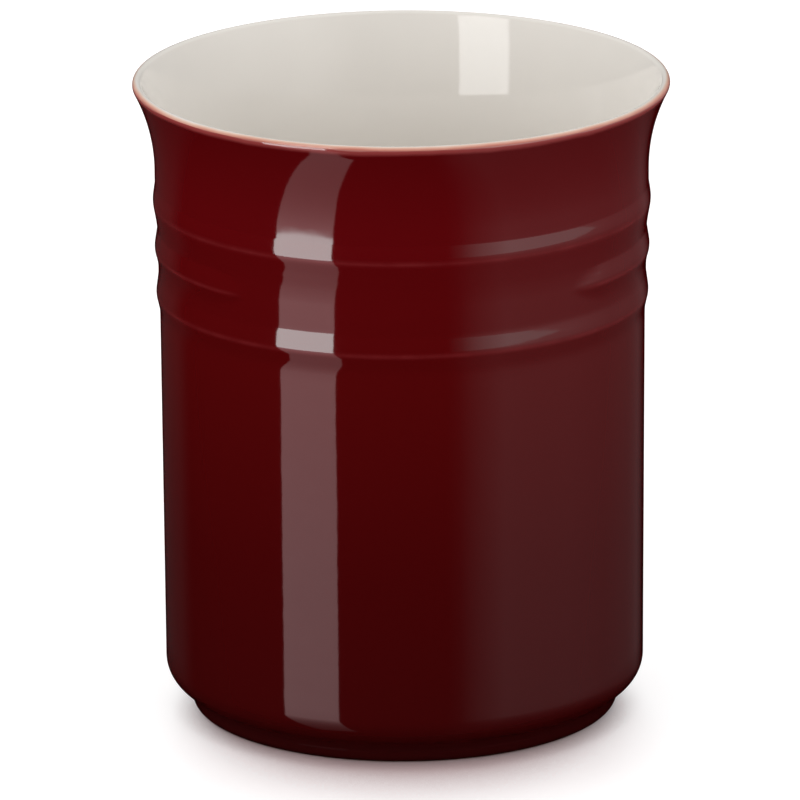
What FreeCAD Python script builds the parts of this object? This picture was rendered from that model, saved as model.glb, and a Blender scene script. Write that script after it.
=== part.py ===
import FreeCAD, Part
import math
import os

# Stoneware utensil crock. Millimetres, Z up, origin at the middle of the foot, on the surface it stands on.
# Every piece is a closed section in the XZ plane, turned about Z. The front, with its bare panel, faces -Y.

# Rim: a thin half-round lip at the end of a wall that flares on one arc, upright where it leaves the neck
height = 150.0
rim_diameter = 123.86
lip_round = 1.1
flare_radius = 43.8
neck_height = 128.5

# Three beads with straight upper flanks: each by the height where its underside leaves the wall, the height
# and radius of its edge, and the height where its flank ends. The upper one leaves the wall on a long sweep
lower_bead = (95.6, (99.4, 56.99), 103.8)
middle_bead = (107.0, (110.2, 57.28), 114.8)
upper_bead = (115.0, (121.0, 57.6), 126.1)
panel_radius = 56.39
flank_end_radius = 56.56
edge_round = 3.0
hollow_round = 12.0
sweep_round = 38.0

# The middle bead is rooted in the wall. It stops beside a bare front panel, with tails that turn inwards
panel_half_angle = 52.0
bead_root = 9.0
tail_radius = 30.0
tail_turn = 20.0
join_tolerance = 0.005

# Lower body: a wall with a little draft, a rounded shoulder, and the turned foot under it
shoulder_height = 11.7
shoulder_radius = 55.6
shoulder_round = 6.85
wall_top_radius = 56.1
foot_radius = 49.5
foot_round = 1.9
foot_fillet = 2.55

# Inside: a long flare, a wall with a little draft, a wide corner and a flat floor
inner_flare_radius = 74.0
inner_wall_radius = 51.3
inner_corner = 9.0
floor_height = 8.5

# Underside: a flat contact ring round a shallow recess, which was turned with a 45 degree side
ring_inner_radius = 43.9
recess_depth = 2.2

# Glaze: its thickness, the angle round the lip where burgundy meets cream, and where it was wiped off: the
# angle round the foot's edge, the height in the recess
glaze = 0.45
border_angle = 20.0
foot_wipe_angle = -72.0
recess_wipe_height = 0.6


def point(radius, z):
    return FreeCAD.Vector(radius, 0, z)


def line(start, end):
    return Part.LineSegment(start, end).toShape()


def arc(centre, radius, first, last):
    """Arc about a centre, by its angles in degrees, with 0 outward and 90 upward."""
    angles = [math.radians(angle) for angle in (first, (first + last) / 2, last)]
    return Part.Arc(*[centre + point(radius * math.cos(a), radius * math.sin(a)) for a in angles]).toShape()


def start_of(edges):
    return edges[0].firstVertex(True).Point


def end_of(edges):
    return edges[-1].lastVertex(True).Point


def joined(arcs):
    """Arcs in order, with a straight line wherever one ends short of the next."""
    edges = []
    for following in arcs:
        if edges and end_of(edges).distanceToPoint(start_of([following])) > 1e-6:
            edges.append(line(end_of(edges), start_of([following])))
        edges.append(following)
    return edges


def rounded(before, corner, after, rounding, depth):
    """Arc that rounds one corner of the outside, going up, at a depth under the glaze's surface."""
    back, on = [(end - corner).normalize() for end in (before, after)]
    middle = (back + on).normalize()
    half = back.getAngle(on) / 2
    hollow = math.copysign(1, middle.x)
    facing = math.degrees(math.atan2(-middle.z, -middle.x))
    swing = hollow * (90 - math.degrees(half))
    centre = corner + middle * (rounding / math.sin(half))
    return arc(centre, rounding + hollow * depth, facing + swing, facing - swing)


# The lip's circle and the flare's arc touch, which settles how wide the neck is
lip_centre = point(rim_diameter / 2 - lip_round, height - lip_round)
flare_rise = lip_centre.z - neck_height
flare_reach = math.sqrt((flare_radius + lip_round) ** 2 - flare_rise ** 2)
flare_centre = point(lip_centre.x + flare_reach, neck_height)
flare_turn = math.degrees(math.atan2(flare_rise, flare_reach))
neck_radius = flare_centre.x - flare_radius
foot_edge_centre = point(foot_radius - foot_round, foot_round)


def outside(depth):
    """From the foot up round the lip's edge without the middle bead, under the burgundy's surface."""
    shoulder_centre = point(shoulder_radius - shoulder_round, shoulder_height)
    fillet_reach = foot_radius + foot_fillet - shoulder_centre.x
    fillet_drop = math.sqrt((shoulder_round + foot_fillet) ** 2 - fillet_reach ** 2)
    fillet_centre = shoulder_centre + point(fillet_reach, -fillet_drop)
    fillet_angle = math.degrees(math.atan2(-fillet_drop, fillet_reach))
    arcs = [arc(foot_edge_centre, foot_round - depth, foot_wipe_angle, 0),
            arc(fillet_centre, foot_fillet + depth, 180, 180 + fillet_angle),
            arc(shoulder_centre, shoulder_round - depth, fillet_angle, 0)]
    corners = [(shoulder_height, shoulder_radius, 0), (lower_bead[0], wall_top_radius, hollow_round),
               (*lower_bead[1], edge_round), (lower_bead[2], panel_radius, edge_round),
               (upper_bead[0], panel_radius, sweep_round), (*upper_bead[1], edge_round),
               (upper_bead[2], neck_radius, edge_round), (neck_height, neck_radius, 0)]
    places = [point(radius, z) for z, radius, _ in corners]
    for before, corner, after, (_, _, rounding) in zip(places, places[1:], places[2:], corners[1:]):
        arcs.append(rounded(before, corner, after, rounding, depth))
    arcs.append(arc(flare_centre, flare_radius + depth, 180, 180 - flare_turn))
    arcs.append(arc(lip_centre, lip_round - depth, -flare_turn, border_angle))
    return joined(arcs)


def inside(depth):
    """From the burgundy's upper edge over the lip to the floor's middle, under the cream's surface."""
    reach = (inner_flare_radius - lip_round) / (flare_radius + lip_round)
    inner_flare_centre = lip_centre + (flare_centre - lip_centre) * reach
    corner_centre = point(inner_wall_radius - inner_corner, floor_height + inner_corner)
    arcs = [arc(lip_centre, lip_round - depth, border_angle, 180 - flare_turn),
            arc(inner_flare_centre, inner_flare_radius - depth, 180 - flare_turn, 180),
            arc(corner_centre, inner_corner + depth, 0, -90)]
    return joined(arcs) + [line(end_of(arcs), point(0, floor_height - depth))]


def recess(depth):
    """From the middle of the recess under the floor, out and down its side to the wiped edge."""
    ceiling = recess_depth + depth
    corner = point(ring_inner_radius - recess_depth + depth * math.tan(math.radians(22.5)), ceiling)
    sideways = depth * math.sqrt(0.5)
    wiped_edge = point(ring_inner_radius - recess_wipe_height + sideways, recess_wipe_height + sideways)
    return [line(point(0, ceiling), corner), line(corner, wiped_edge)]


def contact_ring():
    """The bare clay that the crock stands on, between the two wiped edges."""
    inner_edge = point(ring_inner_radius, 0)
    foot_edge = arc(foot_edge_centre, foot_round, -90, foot_wipe_angle)
    return [line(end_of(recess(0)), inner_edge), line(inner_edge, start_of([foot_edge])), foot_edge]


def turned(edges, axis=point(0, 0), turn=360):
    """A closed section, turned about an upright axis."""
    return Part.Face(Part.Wire(Part.__sortEdges__(edges))).revolve(axis, point(0, 1), turn)


def middle_ring(depth):
    """The middle bead, from one side of the panel round the back to the other, with a tail at each end."""
    leaves, (edge_height, edge_radius), ends = middle_bead
    edge = point(edge_radius, edge_height)
    below, above = point(panel_radius, leaves), point(flank_end_radius, ends)
    crown = rounded(below, edge, above, edge_round, depth)
    low = start_of([crown]) + (below - edge).normalize() * bead_root
    high = end_of([crown]) + (above - edge).normalize() * bead_root
    section = [crown, line(end_of([crown]), high), line(high, low), line(low, start_of([crown]))]
    length = 360 - 2 * panel_half_angle
    tail_axis = point(edge_radius - tail_radius, 0)
    first_tail = turned(section, tail_axis, -tail_turn)
    last_tail = turned(section, tail_axis, tail_turn).rotated(point(0, 0), point(0, 1), length)
    ring = turned(section, turn=length).multiFuse([first_tail, last_tail], join_tolerance)
    return ring.rotated(point(0, 0), point(0, 1), panel_half_angle - 90)


def coat(outline):
    """A layer of fired glaze between its own surface and the clay."""
    surface = outline(0)
    clay = outline(glaze)
    edges = [line(start_of(surface), start_of(clay)), line(end_of(surface), end_of(clay))]
    return turned(surface + clay + edges)


def body():
    """The fired clay: it fills the crock up to the coats, and is bare on the contact ring."""
    outer, inner, under, bare = outside(glaze), inside(glaze), recess(glaze), contact_ring()
    seams = [line(end_of(inner), start_of(under)), line(end_of(under), start_of(bare)),
             line(end_of(bare), start_of(outer))]
    return turned(outer + inner + under + bare + seams).fuse([middle_ring(glaze)], join_tolerance)


fired_body = body()
nodes = {
    "stoneware_body": fired_body,
    "outer_glaze": coat(outside).fuse([middle_ring(0)], join_tolerance).cut(fired_body),
    "inner_glaze": coat(inside),
    "base_glaze": coat(recess),
}

os.makedirs("parts", exist_ok=True)
for name, shape in nodes.items():
    shape.exportStep("parts/" + name + ".step")
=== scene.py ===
import math
import bmesh
import bpy
from mathutils import Matrix, Vector


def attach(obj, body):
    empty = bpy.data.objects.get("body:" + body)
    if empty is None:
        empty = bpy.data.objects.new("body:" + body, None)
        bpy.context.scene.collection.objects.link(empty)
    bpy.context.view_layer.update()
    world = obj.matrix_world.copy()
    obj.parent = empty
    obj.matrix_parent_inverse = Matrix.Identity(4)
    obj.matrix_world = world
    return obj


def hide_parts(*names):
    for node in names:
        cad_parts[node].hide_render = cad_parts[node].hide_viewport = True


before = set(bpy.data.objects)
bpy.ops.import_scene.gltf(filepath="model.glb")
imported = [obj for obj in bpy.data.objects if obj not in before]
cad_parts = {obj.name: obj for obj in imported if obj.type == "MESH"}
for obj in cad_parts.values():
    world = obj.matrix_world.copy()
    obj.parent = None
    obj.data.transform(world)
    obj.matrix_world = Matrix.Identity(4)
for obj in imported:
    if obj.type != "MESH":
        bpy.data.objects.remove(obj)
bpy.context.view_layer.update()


# Stoneware body
# The pot itself, thrown and turned from buff stoneware and fired hard. Glaze hides it all, except for the
# ring that it stands on, which was wiped bare for the kiln. Its solid is right and only needs a surface.
def srgb(code):
    """A colour written as sRGB hex, in linear light."""
    parts = [int(code[i:i + 2], 16) / 255 for i in (1, 3, 5)]
    return [p / 12.92 if p <= 0.04045 else ((p + 0.055) / 1.055) ** 2.4 for p in parts] + [1.0]


def material(name):
    """A new material with an empty node tree."""
    made = bpy.data.materials.new(name)
    made.use_nodes = True
    made.node_tree.nodes.clear()
    return made, made.node_tree


def add(tree, kind, inputs=None, stops=(), **settings):
    """Adds a shader node. Inputs are values or outputs of other nodes, stops a ramp's places and colours."""
    made = tree.nodes.new("ShaderNode" + kind)
    for name, value in settings.items():
        setattr(made, name, value)
    for name, value in (inputs or {}).items():
        if isinstance(value, bpy.types.NodeSocket):
            tree.links.new(value, made.inputs[name])
        else:
            made.inputs[name].default_value = value
    for i, (position, colour) in enumerate(stops):
        elements = made.color_ramp.elements
        stop = elements[i] if i < len(elements) else elements.new(position)
        stop.position = position
        stop.color = srgb(colour)
    return made


# Bare clay: warm buff clouds and darker specks of grog, matt and slightly sandy. Each pattern's size is that
# of one spot in millimetres, and the sand is drawn coarser than it is, so that it shows
metre = 1000
cloud_size, speck_size, sand_size = 16.7, 1.43, 0.45
bare_clay, tree = material("bare_buff_stoneware")
place = add(tree, "TexCoord").outputs["Object"]
cloud = add(tree, "TexNoise", {"Vector": place, "Scale": metre / cloud_size, "Detail": 4.0}).outputs["Fac"]
speck = add(tree, "TexVoronoi", {"Vector": place, "Scale": metre / speck_size}).outputs["Distance"]
sand = add(tree, "TexNoise", {"Vector": place, "Scale": metre / sand_size, "Detail": 3.0}).outputs["Fac"]
buff = add(tree, "ValToRGB", {"Fac": cloud}, stops=[(0.3, "#bfae93"), (0.7, "#d2c4ab")]).outputs["Color"]
grog = add(tree, "ValToRGB", {"Fac": speck}, stops=[(0.12, "#8f7d66"), (0.24, "#ffffff")]).outputs["Color"]
clay = add(tree, "Mix", {"Factor": 0.8, "A": buff, "B": grog}, data_type="RGBA", blend_type="MULTIPLY")
grain = add(tree, "Bump", {"Strength": 0.5, "Distance": 0.00012, "Height": sand})
finish = add(tree, "BsdfPrincipled", {"Base Color": clay.outputs["Result"], "Roughness": 0.85, "IOR": 1.5,
                                      "Normal": grain.outputs["Normal"]})
add(tree, "OutputMaterial", {"Surface": finish.outputs["BSDF"]})

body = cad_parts["stoneware_body"]
body.data.materials.clear()
body.data.materials.append(bare_clay)


# Outer glaze
# The burgundy coat, poured over the outside from the lip's edge to the foot and fired to a deep gloss. It
# lies on the turned outline of foot, shoulder, upright wall, three beads, neck and flare, in millimetres.
glaze = 0.45
foot_radius, foot_round, wiped_angle = 49.5, 1.9, math.radians(-72)
shoulder_radius, shoulder_height, shoulder_round = 55.6, 11.7, 6.85
foot_fillet = 2.55
wall_radius, panel_radius = 56.1, 56.39
height, rim_radius, lip_round = 150.0, 61.93, 1.1
flare_radius, neck_height = 43.8, 128.5
border_angle = math.radians(20)


def on_round(centre, radius, angle):
    """A point on a round of the outline, by its angle above the outward side."""
    return centre + radius * Vector((math.cos(angle), 0, math.sin(angle)))


def corner_of(centre, radius, first, last):
    """The corner that a round takes off between two angles: its radius, height and rounding."""
    middle, half = (first + last) / 2, (last - first) / 2
    return *on_round(centre, radius / math.cos(half), middle).xz, radius


# The fillet over the foot touches the shoulder's round, and the flare's round touches the lip's
foot_centre = Vector((foot_radius - foot_round, 0, foot_round))
shoulder_centre = Vector((shoulder_radius - shoulder_round, 0, shoulder_height))
fillet_turn = math.acos((foot_radius + foot_fillet - shoulder_centre.x) / (shoulder_round + foot_fillet))
fillet_centre = on_round(shoulder_centre, shoulder_round + foot_fillet, -fillet_turn)
lip_centre = Vector((rim_radius - lip_round, 0, height - lip_round))
flare_turn = math.asin((lip_centre.z - neck_height) / (flare_radius + lip_round))
flare_centre = on_round(lip_centre, flare_radius + lip_round, -flare_turn)
neck_radius = flare_centre.x - flare_radius

# Corners of the outline by radius, height and rounding. Each bead has one where it leaves the wall, one at
# its edge and one where its upper flank ends
lower_bead = [(wall_radius, 95.6, 12), (56.99, 99.4, 5), (panel_radius, 103.8, 10)]
middle_bead = [(panel_radius, 107.0, 12), (57.28, 110.2, 5), (56.56, 114.8, 3)]
upper_bead = [(56.74, 116.75, 26), (57.6, 121.5, 8), (neck_radius, 125.4, 3)]
wiped_edge = (*on_round(foot_centre, foot_round, wiped_angle).xz, 0)
glaze_border = (*on_round(lip_centre, lip_round, border_angle).xz, 0)
outside = [
    wiped_edge,
    corner_of(foot_centre, foot_round, wiped_angle, 0),
    corner_of(fillet_centre, foot_fillet, math.pi, math.pi - fillet_turn),
    corner_of(shoulder_centre, shoulder_round, -fillet_turn, 0),
    *lower_bead, *middle_bead, *upper_bead,
    corner_of(flare_centre, flare_radius, math.pi, math.pi - flare_turn),
    corner_of(lip_centre, lip_round, -flare_turn, border_angle),
    glaze_border,
]


def ruled(mesh, pen, end, longest=2.0, shortest=0.01):
    """Carries the pen straight on to an end, in short steps."""
    start = pen.co.copy()
    steps = max(1, math.ceil((end - start).length / longest))
    for i in range(steps):
        if (end - pen.co).length > shortest:
            pen = bmesh.ops.extrude_vert_indiv(mesh, verts=[pen])["verts"][0]
            pen.co = start.lerp(end, (i + 1) / steps)
    return pen


def turned(corners, steps_round, widest=math.radians(4), longest=1.2):
    """A surface turned about Z from an outline whose corners are rounded on true arcs, in small steps."""
    mesh = bmesh.new()
    points = [Vector((radius, 0, z)) for radius, z, _ in corners]
    pen = bmesh.ops.create_vert(mesh, co=points[0])["vert"][0]
    for before, corner, after, (_, _, rounding) in zip(points, points[1:], points[2:], corners[1:]):
        back, on = (before - corner).normalized(), (after - corner).normalized()
        half = back.angle(on) / 2
        centre = corner + (back + on).normalized() * rounding / math.sin(half)
        pen = ruled(mesh, pen, corner + back * rounding / math.tan(half))
        turn = math.copysign(math.pi - 2 * half, on.cross(back).y)
        steps = max(3, round(abs(turn) / widest), round(abs(turn) * rounding / longest))
        drawn = bmesh.ops.spin(mesh, geom=[pen], cent=centre, axis=(0, 1, 0), angle=turn, steps=steps)
        pen = next(v for v in drawn["geom_last"] if isinstance(v, bmesh.types.BMVert))
    ruled(mesh, pen, points[-1])
    # Turned this way round, the faces point away from the clay
    bmesh.ops.spin(mesh, geom=mesh.verts[:] + mesh.edges[:], axis=(0, 0, 1), angle=-2 * math.pi,
                   steps=steps_round, use_merge=True)
    bmesh.ops.remove_doubles(mesh, verts=mesh.verts, dist=0.001)
    return mesh


def piece(name, mesh, surface, node):
    """Makes a coat, in metres, that stands for a CAD node, from its surface in millimetres."""
    bmesh.ops.scale(mesh, vec=(1 / metre,) * 3, verts=mesh.verts)
    data = bpy.data.meshes.new(name)
    mesh.to_mesh(data)
    mesh.free()
    data.shade_smooth()
    data.set_sharp_from_angle(angle=math.radians(40))
    data.materials.append(surface)
    made = bpy.data.objects.new(name, data)
    bpy.context.scene.collection.objects.link(made)
    coat = made.modifiers.new("coat", "SOLIDIFY")
    coat.thickness = glaze / metre
    coat.offset = -1
    coat.use_even_offset = True
    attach(made, "root")
    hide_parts(node)


outer = turned(outside, steps_round=260)

# The middle bead stops at both sides of a bare panel at the front. There its tails turn into the wall on a
# tighter round, and the panel sweeps up to the upper bead
panel_half = math.radians(52)
panel_zone = (104.5, 117.5)
sweep_start, sweep_radius = 111.2, 38.0
tail_radius = 30.0
tail_centre = middle_bead[1][0] - tail_radius

# The melting glaze ran off the beads' edges and lies thin there, but not where a bead has sunk into the wall
thin_edges, thin_reach, sunk_enough = (99.4, 110.2, 121.3), 0.7, 0.6
thin = outer.verts.layers.float.new("thin")
for vertex in outer.verts:
    radius, z = vertex.co.xy.length, vertex.co.z
    beside = panel_half - abs(math.atan2(vertex.co.x, -vertex.co.y))
    raised = 1.0
    if beside > 0 and panel_zone[0] < z < panel_zone[1]:
        aside = tail_centre * math.sin(beside)
        tail = tail_centre * math.cos(beside) + math.sqrt((radius - tail_centre) ** 2 - aside ** 2)
        rise = max(0, z - sweep_start)
        panel = panel_radius + sweep_radius - math.sqrt(sweep_radius ** 2 - rise ** 2)
        raised = max(0, 1 - (radius - max(panel, tail)) / sunk_enough)
        vertex.co.xy *= max(panel, tail) / radius
    vertex[thin] = raised * max(max(0, 1 - abs(z - edge) / thin_reach) for edge in thin_edges)


def melted(tree, place, length, start, end, reach, wave=22.2):
    """Runs from 0 to 1 between two lengths, at a border that wavers where the glazes ran together."""
    uneven = add(tree, "TexNoise", {"Vector": place, "Scale": metre / wave, "Detail": 4.0}).outputs["Fac"]
    waver = add(tree, "MapRange", {"Value": uneven, "To Min": -reach / metre, "To Max": reach / metre})
    wavering = add(tree, "Math", {0: length, 1: waver.outputs["Result"]}, operation="ADD").outputs["Value"]
    border = add(tree, "MapRange", {"Value": wavering, "From Min": start / metre, "From Max": end / metre})
    return border.outputs["Result"]


# Burgundy gloss: deep wine red, with painted shade that darkens it towards the foot, redder and lighter where
# it lies thin along the beads' edges, and breaking to a pale red on the lip. A faint ripple bends what it
# mirrors
patch_size, ripple_size = 6.25, 11.1
burgundy, tree = material("burgundy_gloss_glaze")
place = add(tree, "TexCoord").outputs["Object"]
above_foot = add(tree, "SeparateXYZ", {"Vector": place}).outputs["Z"]
level = add(tree, "MapRange", {"Value": above_foot, "From Max": height / metre}).outputs["Result"]
# Painted shade: the red darkens step by step towards the foot, most of all on the foot itself, where less
# light reaches
shade_towards_foot = add(tree, "ValToRGB", {"Fac": level}, stops=[
    (0.025, "#390a0b"), (0.035, "#460809"), (0.3, "#4e0608"), (0.6, "#5c080a"), (0.85, "#67080d")])
patch = add(tree, "TexNoise", {"Vector": place, "Scale": metre / patch_size, "Detail": 3.0}).outputs["Fac"]
thin_edge = add(tree, "Attribute", attribute_name="thin").outputs["Fac"]
patchy = add(tree, "Math", {0: thin_edge, 1: patch}, operation="MULTIPLY").outputs["Value"]
red = add(tree, "Mix", {"Factor": patchy, "A": shade_towards_foot.outputs["Color"], "B": srgb("#83272a")}, data_type="RGBA")
broken = melted(tree, place, above_foot, start=147.6, end=149.3, reach=0.8)
pale = add(tree, "ValToRGB", {"Fac": broken}, stops=[
    (0.0, "#67080d"), (0.15, "#701418"), (0.3, "#842a2a"), (0.55, "#a04040"), (0.85, "#a04543"),
    (1.0, "#c07c74")])
at_lip = add(tree, "MapRange", {"Value": broken, "From Max": 0.15}).outputs["Result"]
colour = add(tree, "Mix", {"Factor": at_lip, "A": red.outputs["Result"], "B": pale.outputs["Color"]},
             data_type="RGBA")
ripple = add(tree, "TexNoise", {"Vector": place, "Scale": metre / ripple_size, "Detail": 2.0}).outputs["Fac"]
ripple = add(tree, "Bump", {"Strength": 0.15, "Distance": 0.0002, "Height": ripple})
finish = add(tree, "BsdfPrincipled", {"Base Color": colour.outputs["Result"], "Roughness": 0.05, "IOR": 1.55,
                                      "Normal": ripple.outputs["Normal"]})
add(tree, "OutputMaterial", {"Surface": finish.outputs["BSDF"]})

piece("burgundy_outer_glaze", outer, burgundy, "outer_glaze")


# Inner glaze
# The cream coat, swilled round the floor and the inside wall and fired with the burgundy. It runs up the
# flare and over the lip, where the two meet on the outer edge.
inner_flare_radius = 74.0
floor_radius, floor_height, floor_round = 51.3, 8.5, 9
inner_flare_centre = on_round(lip_centre, inner_flare_radius - lip_round, -flare_turn)
inside = [
    glaze_border,
    corner_of(lip_centre, lip_round, border_angle, math.pi - flare_turn),
    corner_of(inner_flare_centre, inner_flare_radius, math.pi - flare_turn, math.pi),
    (floor_radius, floor_height, floor_round),
    (0, floor_height, 0),
]

# Cream gloss: warm off-white with faint clouds where it lies thicker, tinged with the burgundy where the two
# ran into each other on the lip
cloud_size = 40.0
cream, tree = material("cream_gloss_glaze")
place = add(tree, "TexCoord").outputs["Object"]
cloud = add(tree, "TexNoise", {"Vector": place, "Scale": metre / cloud_size, "Detail": 3.0}).outputs["Fac"]
warm = add(tree, "ValToRGB", {"Fac": cloud}, stops=[(0.3, "#ece7e0"), (0.7, "#f1ece5")]).outputs["Color"]
flat = add(tree, "VectorMath", {0: place, 1: (1.0, 1.0, 0.0)}, operation="MULTIPLY").outputs["Vector"]
outward = add(tree, "VectorMath", {0: flat}, operation="LENGTH").outputs["Value"]
tinge = melted(tree, place, outward, start=60.9, end=61.9, reach=0.6)
stain = add(tree, "ValToRGB", {"Fac": tinge}, stops=[
    (0.0, "#ffffff"), (0.5, "#f9d8c9"), (0.8, "#efb0a1"), (1.0, "#dc8d7f")]).outputs["Color"]
colour = add(tree, "Mix", {"Factor": 1.0, "A": warm, "B": stain}, data_type="RGBA", blend_type="MULTIPLY")
finish = add(tree, "BsdfPrincipled", {"Base Color": colour.outputs["Result"], "Roughness": 0.06, "IOR": 1.5,
                                      "Specular IOR Level": 0.3})
add(tree, "OutputMaterial", {"Surface": finish.outputs["BSDF"]})

piece("cream_inner_glaze", turned(inside, steps_round=240), cream, "inner_glaze")


# Base glaze
# The same burgundy in the shallow recess under the floor, brushed on with the crock upside down and wiped off
# along the recess's edge, so that the ring it is fired on stays bare.
ring_inner_radius = 43.9
recess_depth, recess_round, recess_wiped = 2.2, 0.8, 0.6
underside = [
    (0, recess_depth, 0),
    (ring_inner_radius - recess_depth, recess_depth, recess_round),
    (ring_inner_radius - recess_wiped, recess_wiped, 0),
]
piece("burgundy_base_glaze", turned(underside, steps_round=120), burgundy, "base_glaze")


# Studio
# A plain pale floor that runs on behind as the background, soft light all round, and what the gloss glaze
# mirrors: a polished table, dim sheets and a narrow soft box. All of it is turned a little about the crock.
studio = Matrix.Rotation(math.radians(-2.4), 4, "Z")


def staged(name, mesh, surface):
    """A thing of the studio, not of the crock, from a mesh in metres."""
    data = bpy.data.meshes.new(name)
    mesh.to_mesh(data)
    mesh.free()
    data.materials.append(surface)
    made = bpy.data.objects.new(name, data)
    bpy.context.scene.collection.objects.link(made)
    return made


def sheet(name, corners, surface):
    """A flat sheet of the studio from its corners."""
    mesh = bmesh.new()
    mesh.faces.new([mesh.verts.new(studio @ Vector(corner)) for corner in corners])
    return staged(name, mesh, surface)


# White floor: seen as white, with a shadow that is partly real and partly painted: a glow that occlusion,
# leaning back, withholds near the crock, so that the shadow reaches furthest to the front, and a painted
# reddish tint close to the crock for the light it throws back. It throws back less light than it shows, and
# is clear from below, so that the foot can be seen
white, tree = material("white_floor")
path = add(tree, "LightPath").outputs
seen = add(tree, "Math", {0: path["Is Camera Ray"], 1: path["Is Glossy Ray"]}, operation="MAXIMUM")
seen = add(tree, "Math", {0: seen.outputs["Value"], 1: path["Is Transmission Ray"]}, operation="MAXIMUM")
seen = seen.outputs["Value"]
# Painted shadow: the floor's glow is withheld where occlusion, leaning back, finds the crock close, so that
# the shadow reaches furthest to the front
lean_back, shadow_reach = math.radians(65), 0.08
backwards = add(tree, "CombineXYZ", {"Y": math.sin(lean_back), "Z": math.cos(lean_back)}).outputs["Vector"]
clear_of = add(tree, "AmbientOcclusion", {"Distance": shadow_reach, "Normal": backwards}, samples=16)
clear_of = clear_of.outputs["AO"]
# Painted reddish tint close to the crock, standing in for the red light that the crock throws back
painted_red_bounce = add(tree, "ValToRGB", {"Fac": clear_of}, stops=[(0.3, "#e4c5c6"), (0.66, "#ccc9c9")])
tone = add(tree, "Mix", {"Factor": seen, "A": srgb("#b0b0b0"), "B": painted_red_bounce.outputs["Color"]},
           data_type="RGBA")
lift = add(tree, "MapRange", {"Value": clear_of, "From Min": 0.38, "From Max": 0.66, "To Max": 0.64})
lift = add(tree, "Math", {0: seen, 1: lift.outputs["Result"]}, operation="MULTIPLY").outputs["Value"]
paper = add(tree, "BsdfPrincipled", {"Base Color": tone.outputs["Result"], "Roughness": 1.0,
                                     "Specular IOR Level": 0.0, "Emission Color": srgb("#ffffff"),
                                     "Emission Strength": lift})
clear = add(tree, "BsdfTransparent")
below = add(tree, "NewGeometry").outputs["Backfacing"]
sides = add(tree, "MixShader", {0: below, 1: paper.outputs["BSDF"], 2: clear.outputs["BSDF"]})
add(tree, "OutputMaterial", {"Surface": sides.outputs["Shader"]})
sheet("floor", [(-4, -4, 0), (4, -4, 0), (4, 8, 0), (-4, 8, 0)], white)

# Soft white light all round, a little stronger from the left
world = bpy.data.worlds.new("studio")
bpy.context.scene.world = world
world.use_nodes = True
tree = world.node_tree
tree.nodes.clear()
towards = add(tree, "SeparateXYZ", {"Vector": add(tree, "TexCoord").outputs["Generated"]}).outputs["X"]
strength = add(tree, "MapRange", {"Value": towards, "From Min": -1.0, "To Min": 1.1, "To Max": 0.84})
light = add(tree, "Background", {"Color": srgb("#ffffff"), "Strength": strength.outputs["Result"]})
add(tree, "OutputWorld", {"Surface": light.outputs["Background"]})


def only_reflected(card):
    """Lets the glaze mirror a thing that neither hides nor lights anything."""
    card.visible_camera = card.visible_diffuse = card.visible_shadow = card.visible_transmission = False


# Polished table: nearly black with a reddish gloss, which the glaze sees in place of the floor, and in it all
# that stands on it. Close to the crock its gloss fades out, a painted shade for the crock's shadow on it
table_half, table_top = 2.5, 0.0002
shaded_to, unshaded_from = 0.055, 0.085
polished, tree = material("polished_table")
place = add(tree, "TexCoord").outputs["Object"]
away = add(tree, "VectorMath", {0: place}, operation="LENGTH").outputs["Value"]
# Painted shade: the gloss fades out close to the crock, where the crock's shadow falls
out_of_shade = add(tree, "MapRange", {"Value": away, "From Min": shaded_to, "From Max": unshaded_from})
mirror = add(tree, "Fresnel", {"IOR": 2.0}).outputs["Fac"]
mirror = add(tree, "Math", {0: mirror, 1: out_of_shade.outputs["Result"]}, operation="MULTIPLY").outputs["Value"]
gloss = add(tree, "BsdfGlossy", {"Color": srgb("#ffdadc"), "Roughness": 0.03}).outputs["BSDF"]
wood = add(tree, "BsdfDiffuse", {"Color": srgb("#060202")}).outputs["BSDF"]
finish = add(tree, "MixShader", {0: mirror, 1: wood, 2: gloss})
add(tree, "OutputMaterial", {"Surface": finish.outputs["Shader"]})
square = [(-1, -1), (1, -1), (1, 1), (-1, 1)]
only_reflected(sheet("table", [(x * table_half, y * table_half, table_top) for x, y in square], polished))

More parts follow.
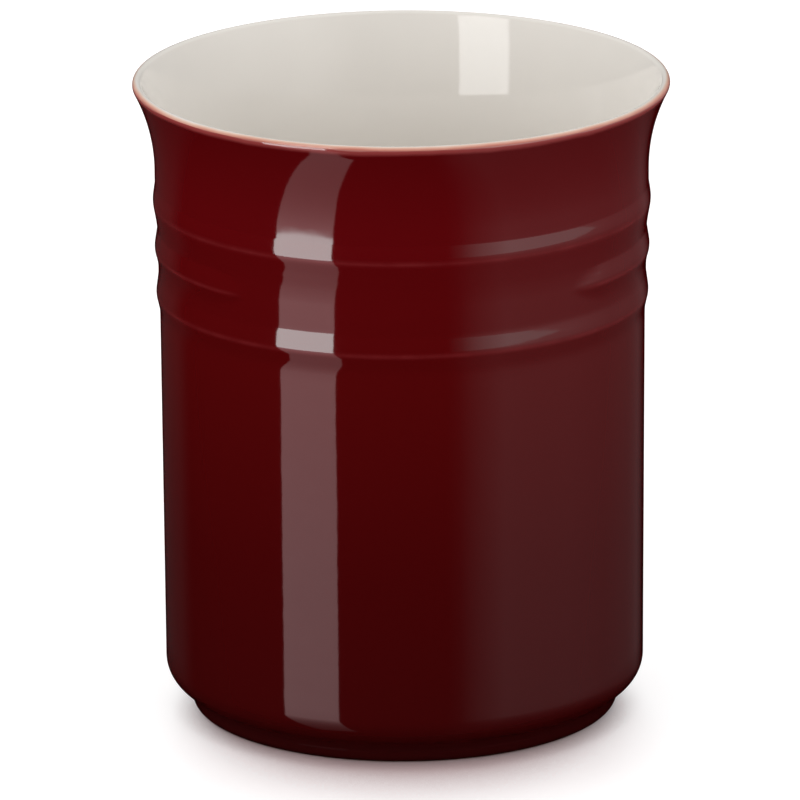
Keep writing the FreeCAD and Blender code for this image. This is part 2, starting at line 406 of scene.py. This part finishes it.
# Studio walls: dark, with a dim white sheet hung along the right and a dimmer one behind on the left, placed
# by degrees round from the front
wall_away, wall_height, wall_sunk = 1.5, 3.0, 0.05
walls, tree = material("studio_walls")
spot = add(tree, "SeparateXYZ", {"Vector": add(tree, "TexCoord").outputs["Object"]})
forward = add(tree, "Math", {0: spot.outputs["Y"], 1: -1.0}, operation="MULTIPLY").outputs["Value"]
around = add(tree, "Math", {0: spot.outputs["X"], 1: forward}, operation="ARCTAN2").outputs["Value"]
around = add(tree, "MapRange", {"Value": around, "From Min": -math.pi, "From Max": math.pi}).outputs["Result"]
hung = add(tree, "ValToRGB", {"Fac": around}, stops=[(0.5 + degrees / 360, grey) for degrees, grey in (
    (-170, "#000000"), (-162, "#5c5c5c"), (-136, "#5c5c5c"), (-124, "#000000"),
    (18, "#000000"), (24, "#5f5f5f"), (33, "#c0c0c0"), (46, "#ffffff"), (80, "#e8e8e8"), (108, "#b4b4b4"),
    (132, "#979797"), (146, "#979797"), (160, "#000000"))])
shine = add(tree, "Emission", {"Color": hung.outputs["Color"], "Strength": 1.2})
add(tree, "OutputMaterial", {"Surface": shine.outputs["Emission"]})
mesh = bmesh.new()
standing = Matrix.Translation((0, 0, wall_height / 2 - wall_sunk))
bmesh.ops.create_cone(mesh, cap_ends=True, segments=96, radius1=wall_away, radius2=wall_away,
                      depth=wall_height, matrix=studio @ standing)
only_reflected(staged("walls", mesh, walls))

# Soft box: tall, narrow and evenly bright. It stands on the table at the front left
box, tree = material("soft_box")
shine = add(tree, "Emission", {"Color": srgb("#ffffff"), "Strength": 6.8})
add(tree, "OutputMaterial", {"Surface": shine.outputs["Emission"]})
right, left, box_height = (-0.260, -0.443), (-0.428, -0.276), 0.75
only_reflected(sheet("soft_box", [(*right, 0), (*left, 0), (*left, box_height), (*right, box_height)], box))


# Camera
# It looks slightly down on the crock from far off, with a long lens on a square picture, and stands a little
# to the left of the panel's middle.
camera = bpy.data.cameras.new("camera")
camera.sensor_width = 36
camera.lens = 540
camera.clip_end = 50
tilt, roll, distance = math.radians(16.476), math.radians(-0.366), 2.7844
target = Matrix.Translation((-0.000721, 0, 0.072495))
aim = target @ Matrix.Rotation(math.pi / 2 - tilt, 4, "X") @ Matrix.Rotation(roll, 4, "Z")
eye = bpy.data.objects.new("camera", camera)
eye.matrix_world = studio @ aim @ Matrix.Translation((0, 0, distance))
bpy.context.scene.collection.objects.link(eye)
bpy.context.scene.camera = eye
bpy.context.scene.view_settings.view_transform = "Standard"
